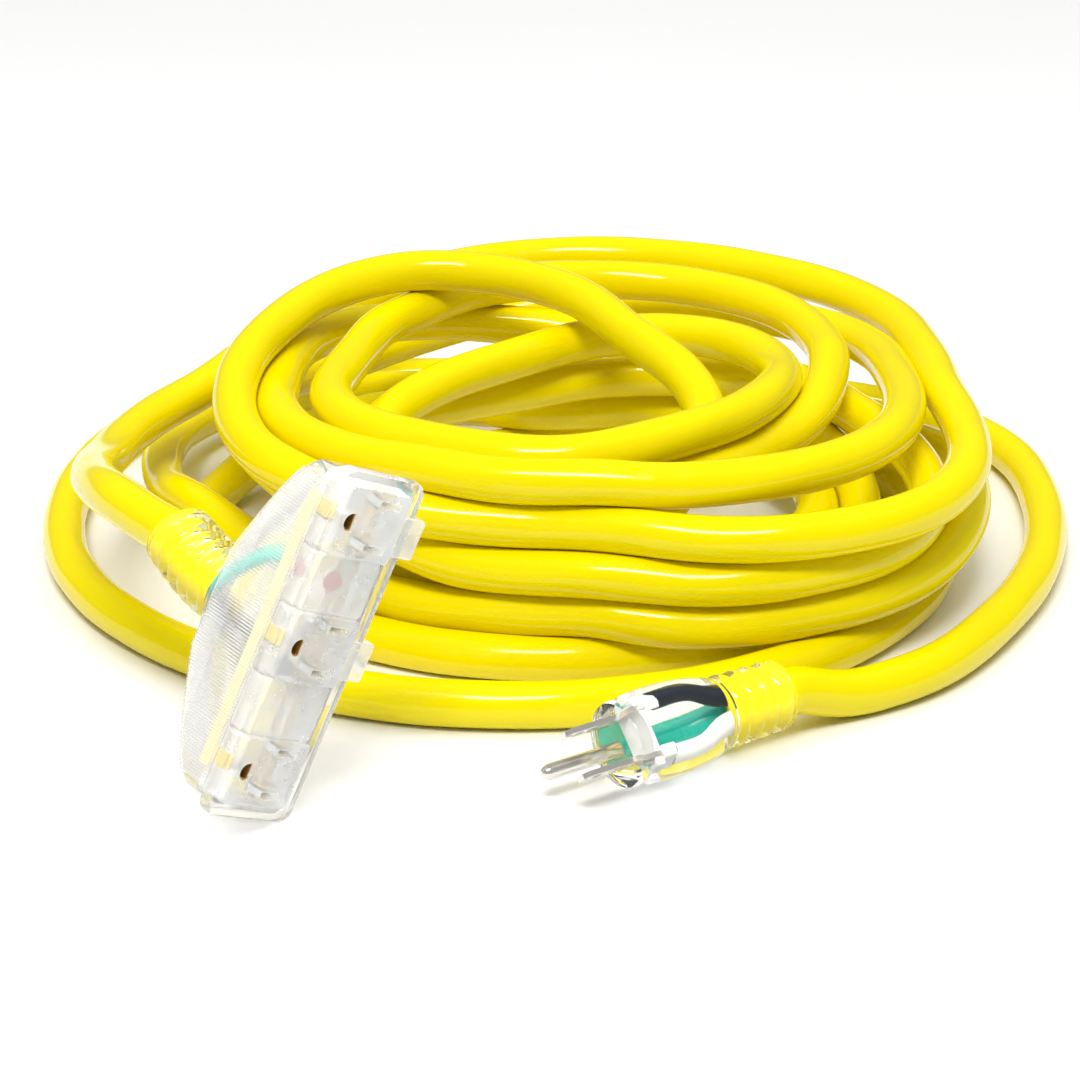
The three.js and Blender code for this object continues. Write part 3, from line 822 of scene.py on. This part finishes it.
def build_outlets():
    for row, number in ((1, 1), (0, 2), (-1, 3)):
        place = outlet_place(row)
        insert = moulded(f"outlet_insert_{number}", soft_block(9.8, 11.7, -10.2, 0.5, 1.4, 0.5), INSERT,
                         "insert_plastic", place, outlet_holes(place, 0))
        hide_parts(f"outlet_{number}")
        # the socket's brass carries painted shade of its pin hole
        socket = moulded(f"pin_socket_{number}", pin_socket(), HOLE_SHADED_BRASS, "brass", place)
        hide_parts(f"ground_contact_{number}")
        moulded(f"socket_leg_{number}", soft_block(2.2, 0.3, -9.5, -3.2, 0.1, 0.1), PALE_BRASS, "brass",
                place @ Matrix.Translation((1.2, 12.0, 0)))
        if row >= 0:
            moulded(f"outlet_tab_{number}", soft_block(5.7, 5.3, -4.0, -0.8, 0.8, 0.4), INSERT,
                    "insert_plastic", place @ Matrix.Translation((-1.8, -15.6, 0)))
    for number, row in ((1, 0.5), (2, -0.5)):
        moulded(f"outlet_spacer_{number}", soft_block(8.3, 11.3, -10.0, -1.6, 1.4, 0.6), INSERT,
                "insert_plastic", outlet_place(row))


def build_ground_bar():
    """The long earth bar: a strip on edge close under the ridged side, its foot turned in to the sockets."""
    corners = [(5.4, -11.6), (12.3, -11.6), (12.3, -8.4), (12.9, -8.4), (12.9, -12.3), (5.4, -12.3)]
    points = [(x, y, z) for x in (-40, 40) for y, z in corners]
    bar = moulded("ground_bar", (points, ring_faces(2, len(corners))), PALE_BRASS, "brass", TAP)
    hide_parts("ground_bus_bar")


def build_boot(name, node, place, top, length, bend, wide, ribs):
    """A ribbed strain relief, straight or bent by an angle in radians."""
    sides = 64
    profile = ribbed_profile(length, wide, ribs)
    points = [(x, y, z + top) for x, y, z in turned(profile, sides)]
    if bend:
        points = bent(points, top, length, bend)
    boot = moulded(name, (points, looped_faces(len(profile), sides)), SLEEVE, "clear_plastic", place,
                   smooth_below=50)
    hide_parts(node)
    return boot


def build_conductor(name, place, ways, finish, slot, *nodes):
    """One insulated conductor, from the end of the jacket to its crimp."""
    path = smoothed(np.array(ways, float), 40, 1.0)
    shape = swept(path, CONDUCTOR_RADIUS, CONDUCTOR_SIDES)
    piece = moulded(name, shape, finish, slot, place, smooth_below=50)
    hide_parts(*nodes)
    return piece


# ---- Plug ----

def build_plug_body():
    sides = 72
    profile = [(9.6, 0), (11.2, -0.1), (12.0, -0.5), (12.4, -1.3), (12.5, -3.2), (12.2, -4.0), (12.0, -4.5),
               (12.3, -5.2), (12.9, -6.4), (13.2, -8.5), (13.4, -13), (13.4, -18), (13.1, -23), (12.6, -27),
               (11.9, -30.5), (11.1, -33.5), (10.4, -PLUG_LENGTH + 0.3)]
    shape = (turned(profile, sides), ring_faces(len(profile), sides))
    body = moulded("plug_clear_body", shape, GLASSY, "clear_plastic", PLUG)
    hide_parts("plug_body")
    return body


def build_bridge():
    """The moulded bar that holds the blades apart, with a boss round each."""
    plate = moulded("blade_bridge", soft_block(9.8, 2.7, -8.6, -5.8, 0.8, 0.4), BRIDGE, "bridge_plastic",
                    PLUG @ Matrix.Translation((0, BLADE_Y, 0)))
    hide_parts("plug_bridge")
    pieces = [plate]
    for side, name in ((-1, "neutral_boss"), (1, "line_boss")):
        boss = moulded(name, soft_block(1.9, 3.9, -12.4, -8.5, 0.8, 0.3), BRIDGE, "bridge_plastic",
                       PLUG @ Matrix.Translation((side * BLADE_X, BLADE_Y, 0)))
        pieces.append(boss)
    return pieces


# ---- Build ----

make_camera()
make_floor()
make_light("key", (-0.1, -1.1, 2.0), 0.9, 0.4, 36, seen_in_gloss=True)
make_light("overhead", (0.1, 0.7, 2.4), 4.6, 4.2, 86)
make_light("left_fill", (-1.9, -0.2, 1.1), 1.2, 1.2, 3)
make_light("right_fill", (2.1, 0.1, 1.0), 1.0, 1.2, 3)
make_world()

centreline = settled(laid_route())
smooth_line = smoothed(centreline, 6 * len(centreline), RING_SPACING)
cord_shape = swept(smooth_line * MM, CORD_DIAMETER / 2 * MM, CORD_SIDES, SWELLING, LAY_OF_CONDUCTORS)
cord = new_piece("yellow_cord", *cord_shape, JACKET, "jacket")
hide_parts("tap_lead", "plug_lead", "coil_lower", "coil_upper", "tap_jacket_end", "plug_jacket_end")

build_tap_body()
build_ridges()
build_outlets()
build_ground_bar()
build_boot("tap_ribbed_boot", "tap_strain_relief", TAP, NECK_END, TAP_BOOT_LENGTH, TAP_BOOT_BEND,
           wide=11.2, ribs=6)
plug_body = build_plug_body()
plug_boot = build_boot("plug_ribbed_boot", "plug_strain_relief", PLUG, -PLUG_LENGTH, PLUG_BOOT_LENGTH, 0,
                       wide=10.8, ribs=4)

plug_pieces = [plug_body, plug_boot, *build_bridge()]
for node in ("line_blade", "neutral_blade", "ground_pin"):
    plug_pieces.append(softened(node, NICKEL, 0.25))
for name in ("line", "neutral"):
    for node in (f"{name}_bus_bar", *[f"{name}_contact_{number}" for number in (1, 2, 3)]):
        softened(node, BRASS, 0.1)
frame["nodes"]["power_lamp"].data.materials[0] = LAMP
frame["nodes"]["lamp_resistor"].data.materials[0] = WHITE

WIRES = {"ground": (GREEN, "wire_green"), "line": (BLACK, "wire_black"), "neutral": (WHITE, "wire_white")}
for name, (finish, slot) in WIRES.items():
    for end in ("tap", "plug"):
        frame["nodes"][f"{end}_{name}_crimp"].data.materials[0] = NICKEL
    build_conductor(f"tap_{name}_conductor", TAP, TAP_WAYS[name], finish, slot, f"tap_{name}_wire")
    plug_pieces.append(build_conductor(f"plug_{name}_conductor", PLUG, PLUG_WAYS[name], finish, slot,
                                       f"plug_{name}_wire"))
